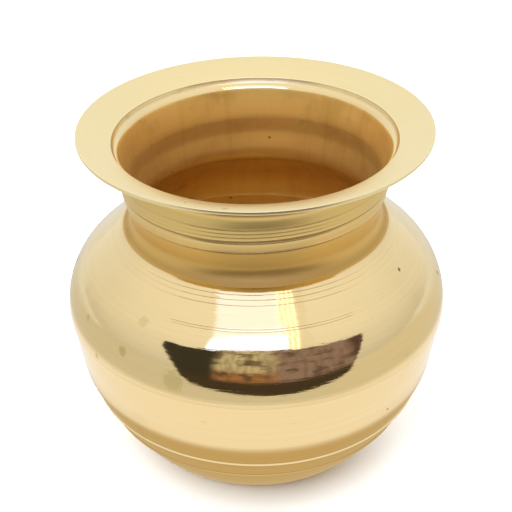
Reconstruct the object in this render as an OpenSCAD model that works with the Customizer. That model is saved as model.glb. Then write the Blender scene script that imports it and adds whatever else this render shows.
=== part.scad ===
// Brass kalash pot: four turned shells and the three brazed joints between them.
// Millimetres, +Z up, origin at the centre of the base on the surface it stands on.

/* [Overall] */
// Height from the surface to the top of the lip
height = 98.7; // [97:0.1:100]
// Thickness of the turned sheet
wall = 1; // [0.9:0.05:1.1]

/* [Rim] */
// Outer radius of the lip
rim_r = 48; // [46:0.5:50]
// Radius of the rim's inner edge
rim_inner_r = 38.6; // [38.2:0.1:39]
// Drop from the lip down to the rim's inner edge
rim_drop = 3.1; // [2.8:0.1:3.4]
// Radius of the curve of the rim's upper face
rim_curve = 57; // [50:1:80]
// Width of the lap of the rim over the collar's flange
rim_lap = 3; // [2:0.1:4]

/* [Neck] */
// Outer radius of the shoulder's stub, which fills the bore of the collar
stub_r = 35.7; // [35.6:0.05:35.8]
// Depth from the lip to the top of the stub
stub_depth = 14.2; // [14:0.1:14.6]
// Depth from the lip to the place where the funnel of the mouth turns upright
funnel_depth = 13; // [12.6:0.1:13.4]
// Depth from the lip to the collar's lower edge
collar_depth = 18.6; // [18.4:0.1:18.8]
// Radius of the collar at its lower edge
collar_low_r = 36.1; // [36:0.05:36.2]
// Radius of the collar at the top of its slanted rib
rib_r = 36.8; // [36.7:0.05:36.9]
// Radius of the collar's upper band
band_r = 37.2; // [37.1:0.05:37.3]

/* [Belly] */
// Outer radius of the belly at its widest
belly_r = 53.8; // [53:0.1:54.5]
// Depth from the lip to the widest place
belly_depth = 52.6; // [52:0.1:53]
// Radius of the round lower part of the shoulder
shoulder_curve = 22; // [21.5:0.1:22.5]
// Radius of the much flatter upper part of the shoulder
upper_curve = 200; // [150:10:300]
// Radius at which the flat part of the shoulder starts to round over towards the neck
crest_r = 38.1; // [38:0.05:38.2]
// Radius of the hollow curve that leads from the shoulder up into the neck
cove_curve = 4.6; // [4.4:0.05:4.8]
// Radius of the soft edge under the widest place
edge_curve = 6; // [5:0.5:8]
// Slope of the straight band under the seam, in degrees from upright
band_slope = 9.5; // [9:0.5:11]
// Length of the straight band along its slope
band_len = 15.3; // [14.3:0.1:16.3]
// Radius of the curve of the lower bowl
bowl_curve = 75; // [72:1:78]

/* [Turned decoration] */
// Radius of the upper engraved line on the shoulder, next to the cove
line_high_r = 38.55; // [38.5:0.05:38.8]
// Radius of the second engraved line
line_second_r = 39.6; // [39:0.1:40]
// Radius of the third engraved line
line_third_r = 40.8; // [40.5:0.1:42]
// Radius of the middle of the pair of engraved lines lower on the shoulder
line_pair_r = 45.7; // [44:0.1:46]
// Depth from the lip to the upper bead on the bowl
bead_high_depth = 77.6; // [76:0.1:79]
// Depth from the lip to the lower bead on the bowl
bead_low_depth = 84.6; // [83:0.1:86]

/* [Base] */
// Radius of the turn under the bowl
base_curve = 9; // [8.5:0.1:9.5]
// Radius of the sunk middle of the base
dish_r = 22; // [18:0.5:24]
// How far the middle of the base is raised off the surface
dish_rise = 0.8; // [0.6:0.1:1]

/* [Hidden] */

// Colours of the metal: the lip is palest, and the brazing alloy is duller
lip_colour = [0.95, 0.86, 0.64];
shell_colour = [0.88, 0.76, 0.50];
collar_colour = [0.80, 0.66, 0.38];
braze_colour = [0.66, 0.54, 0.30];

// Steps along small and large curves, and sides asked for on a full turn
small_steps = 4;
large_steps = 10;
turn_sides = 144;

// Belly seam: depth of its groove, degrees of the shoulder's curve that the lap covers, and
// length of the step that brings the bowl's wall in behind the shoulder's
seam_groove = 0.4;
lap_angle = 9;
step_len = 3;
// Width and height of the fillet under the collar, and height of the fillet inside the rim
neck_fillet = [0.35, 0.6];
rim_fillet = 0.8;
// Slope at which the round part of the shoulder hands over to the flatter one, from upright
shoulder_slope = 47.5;
// Rounded crest beside the cove: its radius, and its slope from upright where the cove takes over
crest_curve = 8;
crest_slope = 60;
// Soft corner between the straight band and the bowl's curve
corner_curve = 15;
corner_slope = 20;
// Roll at the top of the funnel, the flat before it, and the hollow under the flange
roll_curve = 2.6;
roll_flat = 0.7;
hollow_curve = 5;

// Grooves of the collar, each as its depth from the lip, and their half width and depth
collar_top_line = 11.3;
collar_groove = 15.1;
groove_half = 0.45;
groove_cut = 0.35;
// Distance of the fine lines between them
fine_gap = 1.1;
fine_half = 0.15;
fine_cut = 0.1;

// Size of an engraved line and of a bead, half widths first
line_half = 0.15;
line_cut = 0.12;
pair_gap = 0.5;
bead_half = 0.55;
bead_rise = 0.35;

// Height of a place that lies a given depth below the lip
function below(depth) = height - depth;
// A point at radius r and angle a about the centre c
function polar(c, r, a) = [c[0] + r * cos(a), c[1] + r * sin(a)];
// Points along an arc about c, from angle a0 to a1
function arc(c, r, a0, a1, steps) =
    [for (i = [0 : steps]) polar(c, r, a0 + (a1 - a0) * i / steps)];
// The angle at which a circle about c reaches the radius x from the axis, on its upper half
function angle_at_r(c, r, x) = acos((x - c[0]) / r);
// The angle at which a circle about c reaches the height z, on its outer half
function angle_at_z(c, r, z) = asin((z - c[1]) / r);
// A small raised or sunk mark of parabolic section on an arc, without its two ends
function mark(c, r, a, half_a, lift) =
    [for (j = [-0.5, 0, 0.5]) polar(c, r + lift * (1 - j * j), a + j * half_a)];
// An arc from a0 down to a1 with marks at the given falling angles
function marked_arc(c, r, a0, a1, marks, half, lift, steps) =
    let (half_a = half / r * 180 / PI, n = len(marks), stops = concat([a0], marks, [a1]))
    [for (i = [0 : n])
        let (from = stops[i] - (i == 0 ? 0 : half_a), to = stops[i + 1] + (i == n ? 0 : half_a))
        each concat(arc(c, r, from, to, steps),
                    i == n ? [] : mark(c, r, marks[i], -half_a, lift))];

// Shoulder: a flat curve, a round one down to the widest place, and the soft edge to the seam
shoulder_c = [belly_r - shoulder_curve, below(belly_depth)];
upper_c = polar(shoulder_c, upper_curve - shoulder_curve, 180 + shoulder_slope);
edge_c = [belly_r - edge_curve, below(belly_depth)];
seam_p = polar(edge_c, edge_curve, -band_slope);
seam_chord_a = seam_groove / edge_curve * 180 / PI;

// Straight band, soft corner and bowl, each starting where the one above it ends
band_dir = [-sin(band_slope), -cos(band_slope)];
band_p = seam_p + band_len * band_dir;
corner_c = polar(band_p, corner_curve, 180 - band_slope);
corner_p = polar(corner_c, corner_curve, -corner_slope);
bowl_c = polar(corner_p, bowl_curve, 180 - corner_slope);
// The bowl turns under where the last curve just touches the surface
base_slope = asin((bowl_c[1] - base_curve) / (bowl_curve - base_curve));
base_c = polar(bowl_c, bowl_curve - base_curve, -base_slope);

// Crest and cove, each starting where the one below it ends
crest_a = acos((crest_r - upper_c[0]) / upper_curve);
crest_c = polar(upper_c, upper_curve - crest_curve, crest_a);
cove_c = polar(crest_c, crest_curve + cove_curve, crest_slope);
// The neck leans in from the collar's lower edge and touches the cove
neck_top = [stub_r, below(collar_depth)];
neck_gap = cove_c - neck_top;
neck_slope = atan2(-neck_gap[1], neck_gap[0]) - acos(cove_curve / norm(neck_gap));

// Rim: its upper face is an arc from its inner edge up to the lip, flatter towards the lip
rim_in = [rim_inner_r, below(rim_drop)];
rim_out = [rim_r, height];
rim_tilt = atan2(rim_out[1] - rim_in[1], rim_out[0] - rim_in[0]);
rim_half_a = asin(norm(rim_out - rim_in) / 2 / rim_curve);
rim_c = polar((rim_in + rim_out) / 2, rim_curve * cos(rim_half_a), rim_tilt - 90);
under_curve = rim_curve - wall;
lap_r = rim_inner_r + rim_lap;

// Collar: the flange lies under the rim, then the roll leads down into the funnel
flange_in_a = angle_at_r(rim_c, under_curve, rim_inner_r);
roll_a0 = angle_at_r(rim_c, under_curve, rim_inner_r - roll_flat);
roll_start = polar(rim_c, under_curve, roll_a0);
roll_c = polar(roll_start, roll_curve, roll_a0 + 180);
throat_r = stub_r - wall;
throat_p = [throat_r, below(funnel_depth)];
// The funnel's straight side runs from the throat and touches the roll
roll_gap = roll_c - throat_p;
roll_a1 = atan2(roll_gap[1], roll_gap[0]) + 90 + asin(roll_curve / norm(roll_gap));
// The hollow under the flange touches the upright band and the flange's lower face
flange_curve = under_curve - wall;
hollow_x = band_r + hollow_curve;
hollow_c = [hollow_x, rim_c[1] + sqrt(pow(flange_curve - hollow_curve, 2) - pow(hollow_x - rim_c[0], 2))];
hollow_a = atan2(hollow_c[1] - rim_c[1], hollow_c[0] - rim_c[0]);

// Points of the rim's underside from the lip in to the flange's edge, and on to the inner edge
function rim_under_outer() =
    arc(rim_c, under_curve, angle_at_r(rim_c, under_curve, rim_r),
        angle_at_r(rim_c, under_curve, lap_r), small_steps);
function rim_under_lap() =
    arc(rim_c, under_curve, angle_at_r(rim_c, under_curve, lap_r), flange_in_a, small_steps);

// A face at a depth into the wall from the seam up round the soft edge to the widest place
function edge_face(depth, from) = arc(edge_c, edge_curve - depth, from, 0, small_steps);
// The lap inside the seam, a face that shell and bowl share, from the seam upwards
function lap_face(depth) = concat(
    edge_face(depth, -band_slope),
    arc(shoulder_c, shoulder_curve - depth, 0, lap_angle, small_steps));

// A point on the straight band, a distance down from the seam and a depth into the wall
function band_at(down, depth) =
    seam_p + down * band_dir + depth * [-cos(band_slope), sin(band_slope)];

// Outer face of the bowl from under the seam to the edge of the sunk middle of the base
function bowl_outer() = concat(
    [band_at(seam_groove, 0)],
    arc(corner_c, corner_curve, -band_slope, -corner_slope, small_steps),
    marked_arc(bowl_c, bowl_curve, -corner_slope, -base_slope,
               [for (d = [bead_high_depth, bead_low_depth]) angle_at_z(bowl_c, bowl_curve, below(d))],
               bead_half, bead_rise, small_steps),
    arc(base_c, base_curve, -base_slope, -90, small_steps),
    [[dish_r + dish_rise, 0], [dish_r, dish_rise], [0, dish_rise]]);

// Inner face of the bowl from the axis up to the start of the step behind the seam
function bowl_inner() = concat(
    [[0, dish_rise + wall], [dish_r, dish_rise + wall], [dish_r + dish_rise, wall]],
    arc(base_c, base_curve - wall, -90, -base_slope, small_steps),
    arc(bowl_c, bowl_curve - wall, -base_slope, -corner_slope, large_steps),
    arc(corner_c, corner_curve - wall, -corner_slope, -band_slope, small_steps),
    [band_at(step_len, wall)]);

// The root of the seam's groove
seam_root = polar(edge_c, edge_curve - seam_groove, -band_slope);

// Points of a list in the opposite order
function reversed(list) = [for (i = [len(list) - 1 : -1 : 0]) list[i]];

// Turns an outline of [radius, height] points about the upright axis
module turned(outline, colour) {
    color(colour) rotate_extrude($fn = turn_sides) polygon(outline);
}

module base_bowl() {
    turned(concat(
        bowl_outer(), bowl_inner(),
        lap_face(2 * wall), reversed(lap_face(wall)),
        [seam_root]), shell_colour);
}

// Angle of an engraved line on the upper part of the shoulder, from its radius
function line_a(r) = angle_at_r(upper_c, upper_curve, r);

module shoulder_shell() {
    line_angles = [for (r = [line_high_r, line_second_r, line_third_r,
                             line_pair_r - pair_gap / 2, line_pair_r + pair_gap / 2]) line_a(r)];
    turned(concat(
        [[stub_r, below(stub_depth)], neck_top],
        arc(cove_c, cove_curve, 180 - neck_slope, 180 + crest_slope, large_steps),
        arc(crest_c, crest_curve, crest_slope, crest_a, small_steps),
        marked_arc(upper_c, upper_curve, crest_a, shoulder_slope, line_angles, line_half, -line_cut,
                   small_steps),
        arc(shoulder_c, shoulder_curve, shoulder_slope, 0, large_steps),
        reversed(edge_face(0, seam_chord_a - band_slope)),
        [seam_root],
        lap_face(wall),
        arc(shoulder_c, shoulder_curve - wall, lap_angle, shoulder_slope, large_steps),
        arc(upper_c, upper_curve - wall, shoulder_slope, crest_a, small_steps),
        arc(crest_c, crest_curve - wall, crest_a, crest_slope, small_steps),
        arc(cove_c, cove_curve + wall, 180 + crest_slope, 180 - neck_slope, large_steps),
        [[stub_r - wall, neck_top[1] + wall * tan(neck_slope / 2)],
         [stub_r - wall, below(stub_depth)]]), shell_colour);
}

// A groove cut into an upright face of radius r, from its lower to its upper edge
function groove(r, depth, half, cut) =
    [[r, below(depth + half)], [r - cut, below(depth)], [r, below(depth - half)]];

module neck_collar() {
    fine_depths = [for (i = [2 : -1 : 1]) collar_top_line + i * fine_gap];
    turned(concat(
        [[stub_r, below(stub_depth)], [stub_r, below(collar_depth)],
         [collar_low_r, below(collar_depth)],
         [rib_r, below(collar_groove + groove_half)], [rib_r - groove_cut, below(collar_groove)],
         [band_r, below(collar_groove - groove_half)]],
        [for (d = fine_depths) each groove(band_r, d, fine_half, fine_cut)],
        groove(band_r, collar_top_line, groove_half / 2, groove_cut / 2),
        arc(hollow_c, hollow_curve, 180, hollow_a, small_steps),
        [polar(rim_c, flange_curve, angle_at_r(rim_c, flange_curve, lap_r))],
        rim_under_lap(),
        arc(roll_c, roll_curve, roll_a0, roll_a1, small_steps),
        [throat_p, [throat_r, below(stub_depth)]]), collar_colour);
}

module rim_flare() {
    a_in = angle_at_r(rim_c, rim_curve, rim_inner_r);
    a_out = angle_at_r(rim_c, rim_curve, rim_r);
    turned(concat(
        arc(rim_c, rim_curve, a_in, a_out, large_steps),
        rim_under_outer(), rim_under_lap()), lip_colour);
}

module belly_braze() {
    turned([band_at(seam_groove, 0), polar(edge_c, edge_curve, seam_chord_a - band_slope),
            seam_root], braze_colour);
}

module neck_braze() {
    // Its inner face lies on the leaning neck
    turned([neck_top, neck_top - neck_fillet[1] * [sin(neck_slope), cos(neck_slope)],
            neck_top + [neck_fillet[0], 0]], braze_colour);
}

module rim_braze() {
    corner = polar(rim_c, under_curve, flange_in_a);
    turned([corner, corner + [0, rim_fillet], roll_start], braze_colour);
}

base_bowl();
shoulder_shell();
neck_collar();
rim_flare();
belly_braze();
neck_braze();
rim_braze();
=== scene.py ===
"""Brass kalash pot: four turned shells and three brazed joints, dressed as used, polished brass.

Shapes are worked out in millimetres as sections of the pot, points of (radius, height), which are
turned about the upright axis. The meshes are written in metres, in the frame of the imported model.
"""
import logging
import math
from dataclasses import dataclass, field
from enum import Enum
from typing import Any, Sequence

import bpy
import numpy as np
from mathutils import Matrix, Vector
from numpy.typing import NDArray


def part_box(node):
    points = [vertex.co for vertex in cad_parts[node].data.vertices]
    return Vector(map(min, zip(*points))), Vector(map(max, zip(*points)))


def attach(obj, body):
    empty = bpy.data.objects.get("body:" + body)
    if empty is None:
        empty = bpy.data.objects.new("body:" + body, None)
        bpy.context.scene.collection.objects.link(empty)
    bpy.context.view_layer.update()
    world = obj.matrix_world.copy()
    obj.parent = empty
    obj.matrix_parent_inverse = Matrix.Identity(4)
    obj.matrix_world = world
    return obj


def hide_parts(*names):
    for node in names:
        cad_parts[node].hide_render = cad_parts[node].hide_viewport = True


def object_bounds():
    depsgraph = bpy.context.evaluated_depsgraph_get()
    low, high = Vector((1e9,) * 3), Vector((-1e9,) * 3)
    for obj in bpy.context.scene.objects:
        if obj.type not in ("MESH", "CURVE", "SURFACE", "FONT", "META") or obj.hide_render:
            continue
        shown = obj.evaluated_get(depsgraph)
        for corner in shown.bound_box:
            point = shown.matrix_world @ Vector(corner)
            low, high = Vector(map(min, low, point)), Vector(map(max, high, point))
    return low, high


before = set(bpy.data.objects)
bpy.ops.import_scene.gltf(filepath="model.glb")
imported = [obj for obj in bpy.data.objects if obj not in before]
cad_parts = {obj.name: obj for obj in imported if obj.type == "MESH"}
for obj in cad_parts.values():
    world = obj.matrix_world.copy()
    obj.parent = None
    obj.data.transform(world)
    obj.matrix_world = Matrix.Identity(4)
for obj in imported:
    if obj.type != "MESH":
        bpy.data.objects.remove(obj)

CAD_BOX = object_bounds()

log = logging.getLogger("kalash")

Floats = NDArray[np.float64]
Colour = tuple[float, float, float]

MM = 0.001
BODY = "root"
AROUND = 288
SEED = 1921


# ---------------------------------------------------------------------------------------------
# Sections


def polar(centre: Sequence[float], radius: float, degrees: float) -> Floats:
    """The point at a radius and an angle about a centre."""
    a = math.radians(degrees)
    return np.array([centre[0] + radius * math.cos(a), centre[1] + radius * math.sin(a)])


def arc(centre: Sequence[float], radius: float, start: float, end: float, pitch: float = 0.7) -> Floats:
    """Points along an arc: centre + radius * (cos a, sin a), with a going evenly from start to end.

    Args:
        centre: The arc's centre, as radius and height.
        radius: The arc's radius.
        start: First angle in degrees.
        end: Last angle in degrees.
        pitch: Longest step along the arc.

    Returns:
        The points, both ends included.
    """
    length = abs(math.radians(end - start)) * radius
    a = np.radians(np.linspace(start, end, max(4, math.ceil(length / pitch)) + 1))
    return np.stack([centre[0] + radius * np.cos(a), centre[1] + radius * np.sin(a)], axis=1)


def line(start: Sequence[float], end: Sequence[float], pitch: float = 0.8) -> Floats:
    """Points along a straight line: start + t * (end - start), with t going evenly from 0 to 1.

    Args:
        start: First point.
        end: Last point.
        pitch: Longest step along the line.

    Returns:
        The points, both ends included.
    """
    start, end = np.asarray(start, float), np.asarray(end, float)
    steps = max(1, math.ceil(np.linalg.norm(end - start) / pitch))
    return start + np.linspace(0, 1, steps + 1)[:, None] * (end - start)


def chain(*parts: Floats) -> Floats:
    """Joins runs of points end to end and drops a point that repeats the one before it."""
    points = np.concatenate([np.atleast_2d(p) for p in parts])
    step = np.linalg.norm(np.diff(points, axis=0), axis=1)
    return points[np.concatenate([[True], step > 1e-5])]


def angle_at_radius(centre: Sequence[float], curve: float, radius: float) -> float:
    """The angle, on the upper half, at which a circle about a centre is at a radius from the axis."""
    return math.degrees(math.acos((radius - centre[0]) / curve))


def angle_at_height(centre: Sequence[float], curve: float, height: float) -> float:
    """The angle, on the outer half, at which a circle about a centre is at a height."""
    return math.degrees(math.asin((height - centre[1]) / curve))


def marked_arc(
    centre: Sequence[float],
    curve: float,
    start: float,
    end: float,
    marks: Sequence[float],
    half: float,
    lift: float,
) -> Floats:
    """An arc with small turned marks on it, raised or sunk.

    The radius is curve + lift * cos^2(pi/2 * d / half), where d is the distance along the arc from
    the nearest mark, for d under half, and plain curve everywhere else.

    Args:
        centre: The arc's centre.
        curve: The arc's radius.
        start: First angle in degrees.
        end: Last angle in degrees, below the first.
        marks: Angles of the marks.
        half: Half the width of a mark.
        lift: Height of a mark, negative for an engraved line.

    Returns:
        The points, with ten steps across each mark.
    """
    half_a = math.degrees(half / curve)
    plain = np.linspace(start, end, math.ceil(math.radians(start - end) * curve / 0.7) + 1)
    fine = (np.asarray(marks)[:, None] + np.linspace(-1.0, 1.0, 11) * half_a).ravel()
    away = np.abs(plain[:, None] - np.asarray(marks)).min(axis=1) > half_a * 1.15
    a = np.sort(np.concatenate([plain[away], fine]))[::-1]
    off = np.abs(a[:, None] - np.asarray(marks)).min(axis=1) / half_a
    radius = curve + lift * np.where(off < 1, np.cos(np.pi / 2 * np.minimum(off, 1)) ** 2, 0)
    a = np.radians(a)
    return np.stack([centre[0] + radius * np.cos(a), centre[1] + radius * np.sin(a)], axis=1)


def soften(points: Floats, size: float, closed: bool, mates: Floats, steps: int = 5) -> Floats:
    """Rounds the corners of an outline, as a polishing wheel does.

    Each corner that turns by more than 14 degrees is replaced by a curve from a point before it to
    a point after it: (1-t)^2 A + 2t(1-t) corner + t^2 B, with A and B at a distance of size, or
    under half of the neighbouring side where that is short.

    Args:
        points: The outline.
        size: Distance from the corner at which the rounding starts.
        closed: Whether the last point joins the first.
        mates: Corners that stay sharp because they lie against another piece.
        steps: Points on each rounded corner.

    Returns:
        The softened outline.
    """
    before, after = np.roll(points, 1, axis=0) - points, np.roll(points, -1, axis=0) - points
    len_b, len_a = np.linalg.norm(before, axis=1), np.linalg.norm(after, axis=1)
    turn = np.degrees(np.arccos(np.clip(-(before * after).sum(1) / (len_b * len_a), -1, 1)))
    sharp = turn > 14
    sharp &= np.linalg.norm(points[:, None] - mates, axis=2).min(axis=1) > 0.02
    if not closed:
        sharp[[0, -1]] = False
    t = np.linspace(0, 1, steps)[None, :, None]
    a = points + before / len_b[:, None] * np.minimum(size, 0.45 * len_b)[:, None]
    b = points + after / len_a[:, None] * np.minimum(size, 0.45 * len_a)[:, None]
    curved = (1 - t) ** 2 * a[:, None] + 2 * t * (1 - t) * points[:, None] + t**2 * b[:, None]
    order = np.arange(len(points), dtype=float)
    keys = np.concatenate([order[~sharp], (order[sharp, None] + np.linspace(-0.4, 0.4, steps)).ravel()])
    merged = np.concatenate([points[~sharp], curved[sharp].reshape(-1, 2)])
    return merged[np.argsort(keys)]


def refine(points: Floats, pitch: float, closed: bool) -> Floats:
    """Adds points on sides longer than a pitch, so that shading stays even across them.

    Args:
        points: The outline.
        pitch: Longest side to keep.
        closed: Whether the last point joins the first.

    Returns:
        The outline with the added points.
    """
    ends = np.roll(points, -1, axis=0) if closed else points[1:]
    starts = points if closed else points[:-1]
    count = np.maximum(1, np.ceil(np.linalg.norm(ends - starts, axis=1) / pitch)).astype(int)
    which = np.repeat(np.arange(len(starts)), count)
    part = np.arange(count.sum()) - np.repeat(np.cumsum(count) - count, count)
    t = (part / count[which])[:, None]
    body = starts[which] * (1 - t) + ends[which] * t
    return body if closed else np.concatenate([body, points[-1:]])


def brace(points: Floats, mates: Floats, reach: float) -> Floats:
    """Adds a point close beside every mating corner, on both sides, so its shading stays local.

    Args:
        points: A closed or open outline.
        mates: Corners that lie against another piece.
        reach: Distance from the corner to the added points.

    Returns:
        The outline with the added points.
    """
    ahead, behind = np.roll(points, -1, axis=0) - points, np.roll(points, 1, axis=0) - points
    at_mate = np.flatnonzero(np.linalg.norm(points[:, None] - mates, axis=2).min(axis=1) < 0.02)
    before = points + behind / np.linalg.norm(behind, axis=1)[:, None] * reach
    after = points + ahead / np.linalg.norm(ahead, axis=1)[:, None] * reach
    keys = np.concatenate([np.arange(len(points)), at_mate - 0.1, at_mate + 0.1])
    return np.concatenate([points, before[at_mate], after[at_mate]])[np.argsort(keys)]


# ---------------------------------------------------------------------------------------------
# The pot's shape


@dataclass(frozen=True)
class PotShape:
    """Driving sizes of the pot in millimetres, and the centres of the curves worked out from them."""

    height: float
    rim_r: float
    belly_r: float
    flange_r: float
    wall: float = 1.0
    rim_inner_r: float = 38.6
    rim_drop: float = 3.1
    rim_curve: float = 57.0
    stub_r: float = 35.7
    belly_depth: float = 52.6
    shoulder_curve: float = 22.0
    shoulder_slope: float = 47.5
    upper_curve: float = 200.0
    edge_curve: float = 6.0
    band_slope: float = 9.5
    band_len: float = 15.3
    corner_curve: float = 15.0
    corner_slope: float = 20.0
    bowl_curve: float = 75.0
    base_curve: float = 9.0
    crest_r: float = 38.1
    crest_curve: float = 8.0
    crest_slope: float = 60.0
    cove_curve: float = 4.6
    stub_depth: float = 14.2
    funnel_depth: float = 13.0
    collar_depth: float = 18.6
    roll_curve: float = 2.6
    roll_flat: float = 0.7
    seam_groove: float = 0.4
    lap_angle: float = 9.0

    @classmethod
    def from_frame(cls) -> "PotShape":
        """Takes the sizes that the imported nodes' boxes give, and keeps the rest as they stand."""
        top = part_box("rim_flare")[1]
        return cls(
            height=round(top[2] / MM, 2),
            rim_r=round(top[0] / MM, 2),
            belly_r=round(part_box("shoulder_shell")[1][0] / MM, 2),
            flange_r=round(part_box("neck_collar")[1][0] / MM, 2),
        )

    def below(self, depth: float) -> float:
        """Height of a place that lies a depth below the lip."""
        return self.height - depth

    @property
    def shoulder_c(self) -> Floats:
        """Centre of the round lower part of the shoulder."""
        return np.array([self.belly_r - self.shoulder_curve, self.below(self.belly_depth)])

    @property
    def upper_c(self) -> Floats:
        """Centre of the much flatter upper part of the shoulder."""
        return polar(self.shoulder_c, self.upper_curve - self.shoulder_curve, 180 + self.shoulder_slope)

    @property
    def edge_c(self) -> Floats:
        """Centre of the soft edge under the widest place."""
        return np.array([self.belly_r - self.edge_curve, self.below(self.belly_depth)])

    @property
    def seam(self) -> Floats:
        """Where shoulder and bowl meet on the outside."""
        return polar(self.edge_c, self.edge_curve, -self.band_slope)

    def band_at(self, down: float, depth: float) -> Floats:
        """A point on the straight band: seam + down * along + depth * inward.

        Args:
            down: Distance along the band from the seam.
            depth: Distance into the wall.

        Returns:
            The point.
        """
        s = math.radians(self.band_slope)
        along, inward = np.array([-math.sin(s), -math.cos(s)]), np.array([-math.cos(s), math.sin(s)])
        return self.seam + down * along + depth * inward

    @property
    def corner_c(self) -> Floats:
        """Centre of the soft corner between the straight band and the bowl."""
        return polar(self.band_at(self.band_len, 0), self.corner_curve, 180 - self.band_slope)

    @property
    def bowl_c(self) -> Floats:
        """Centre of the bowl's curve."""
        end = polar(self.corner_c, self.corner_curve, -self.corner_slope)
        return polar(end, self.bowl_curve, 180 - self.corner_slope)

    @property
    def base_slope(self) -> float:
        """Slope at which the bowl's curve hands over to the turn that just touches the surface."""
        rise = (self.bowl_c[1] - self.base_curve) / (self.bowl_curve - self.base_curve)
        return math.degrees(math.asin(rise))

    @property
    def base_c(self) -> Floats:
        """Centre of the turn under the bowl."""
        return polar(self.bowl_c, self.bowl_curve - self.base_curve, -self.base_slope)

    @property
    def crest_angle(self) -> float:
        """Angle about the upper shoulder's centre at which the crest begins."""
        return angle_at_radius(self.upper_c, self.upper_curve, self.crest_r)

    @property
    def crest_c(self) -> Floats:
        """Centre of the rounded crest beside the cove."""
        return polar(self.upper_c, self.upper_curve - self.crest_curve, self.crest_angle)

    @property
    def cove_c(self) -> Floats:
        """Centre of the hollow curve between the neck and the crest."""
        return polar(self.crest_c, self.crest_curve + self.cove_curve, self.crest_slope)

    @property
    def neck_top(self) -> Floats:
        """Where the neck comes out from under the collar."""
        return np.array([self.stub_r, self.below(self.collar_depth)])

    @property
    def neck_slope(self) -> float:
        """How far the neck leans in, in degrees, on its way down to touch the cove."""
        gap = self.cove_c - self.neck_top
        lean = math.degrees(math.acos(self.cove_curve / np.linalg.norm(gap)))
        return math.degrees(math.atan2(-gap[1], gap[0])) - lean

    @property
    def rim_c(self) -> Floats:
        """Centre of the curve of the rim's upper face, which runs through inner edge and lip."""
        inner = np.array([self.rim_inner_r, self.below(self.rim_drop)])
        lip = np.array([self.rim_r, self.height])
        tilt = math.degrees(math.atan2(*(lip - inner)[::-1]))
        half = math.asin(np.linalg.norm(lip - inner) / 2 / self.rim_curve)
        return polar((inner + lip) / 2, self.rim_curve * math.cos(half), tilt - 90)

    def rim_angle(self, depth: float, radius: float) -> float:
        """Angle on the rim's curve, at a depth under its face, where it is at a radius."""
        return angle_at_radius(self.rim_c, self.rim_curve - depth, radius)

    def edge_face(self, depth: float, start: float, end: float) -> Floats:
        """The soft edge at a depth into the wall, between two angles."""
        return arc(self.edge_c, self.edge_curve - depth, start, end)

    def lap_face(self, depth: float) -> Floats:
        """The face of the lap inside the seam at a depth into the wall, from the seam upwards."""
        upper = arc(self.shoulder_c, self.shoulder_curve - depth, 0, self.lap_angle)
        return chain(self.edge_face(depth, -self.band_slope, 0), upper)

    @property
    def seam_root(self) -> Floats:
        """The root of the groove along the seam."""
        return polar(self.edge_c, self.edge_curve - self.seam_groove, -self.band_slope)

    @property
    def seam_top_angle(self) -> float:
        """Angle about the soft edge's centre where the seam's groove begins."""
        return math.degrees(self.seam_groove / self.edge_curve) - self.band_slope


@dataclass(frozen=True)
class HandWork:
    """What the maker's hand leaves in the metal: a lean of the neck, and soft waves in the sheet.

    Every piece takes the same field of small moves, so that faces which touch go on touching.
    """

    lean: float = 0.010
    collar_lean: float = 0.020
    collar_depth: float = 16.0
    collar_spread: float = 8.0
    wave: float = 0.024
    chatter: float = 0.0025
    seed: int = SEED

    def lean_at(self, depth: Floats) -> Floats:
        """Slope across X: a bell about the collar added to a slight lean that fades at the belly."""
        bell = self.collar_lean * np.exp(-(((depth - self.collar_depth) / self.collar_spread) ** 2))
        return bell + self.lean * np.clip((46 - depth) / 12, 0, 1)

    def apply(
        self, shape: PotShape, radius: Floats, height: Floats, turn: Floats
    ) -> tuple[Floats, Floats, Floats]:
        """Moves points given in cylinder coordinates and returns them as x, y and z.

        The radius gains a sum of waves sin(n * turn + k * height + phase), long ones from planishing
        and short, level ones from the lathe. The height gains the same kind of sum over the radius,
        and the lean times x.

        Args:
            shape: The pot's sizes.
            radius: Distances from the axis.
            height: Heights above the surface.
            turn: Angles about the axis in radians.

        Returns:
            Arrays of x, y and z in millimetres.
        """
        rng = np.random.default_rng(self.seed)
        fade = np.clip(height / 6, 0, 1) * np.clip(radius / 8, 0, 1)
        move_r, move_h = np.zeros((2, *np.broadcast(radius, turn).shape))
        for along, target in ((height, move_r), (radius, move_h)):
            for _ in range(7):
                n, k, phase = rng.integers(2, 9), rng.uniform(0.12, 0.45), rng.uniform(0, 6.28)
                target += self.wave * rng.uniform(0.2, 0.5) * np.sin(n * turn + k * along + phase)
            for _ in range(6):
                n, k, phase = rng.integers(0, 3), rng.uniform(1.2, 3.2), rng.uniform(0, 6.28)
                target += self.chatter * rng.uniform(0.3, 1.0) * np.sin(n * turn + k * along + phase)
        r = radius + move_r * fade
        x, y = r * np.cos(turn), r * np.sin(turn)
        lip_guard = np.clip((shape.height - height) / 2, 0, 1)
        z = height + move_h * fade * lip_guard + self.lean_at(shape.height - height) * x
        return x, y, z


# ---------------------------------------------------------------------------------------------
# Shader tools


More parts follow.
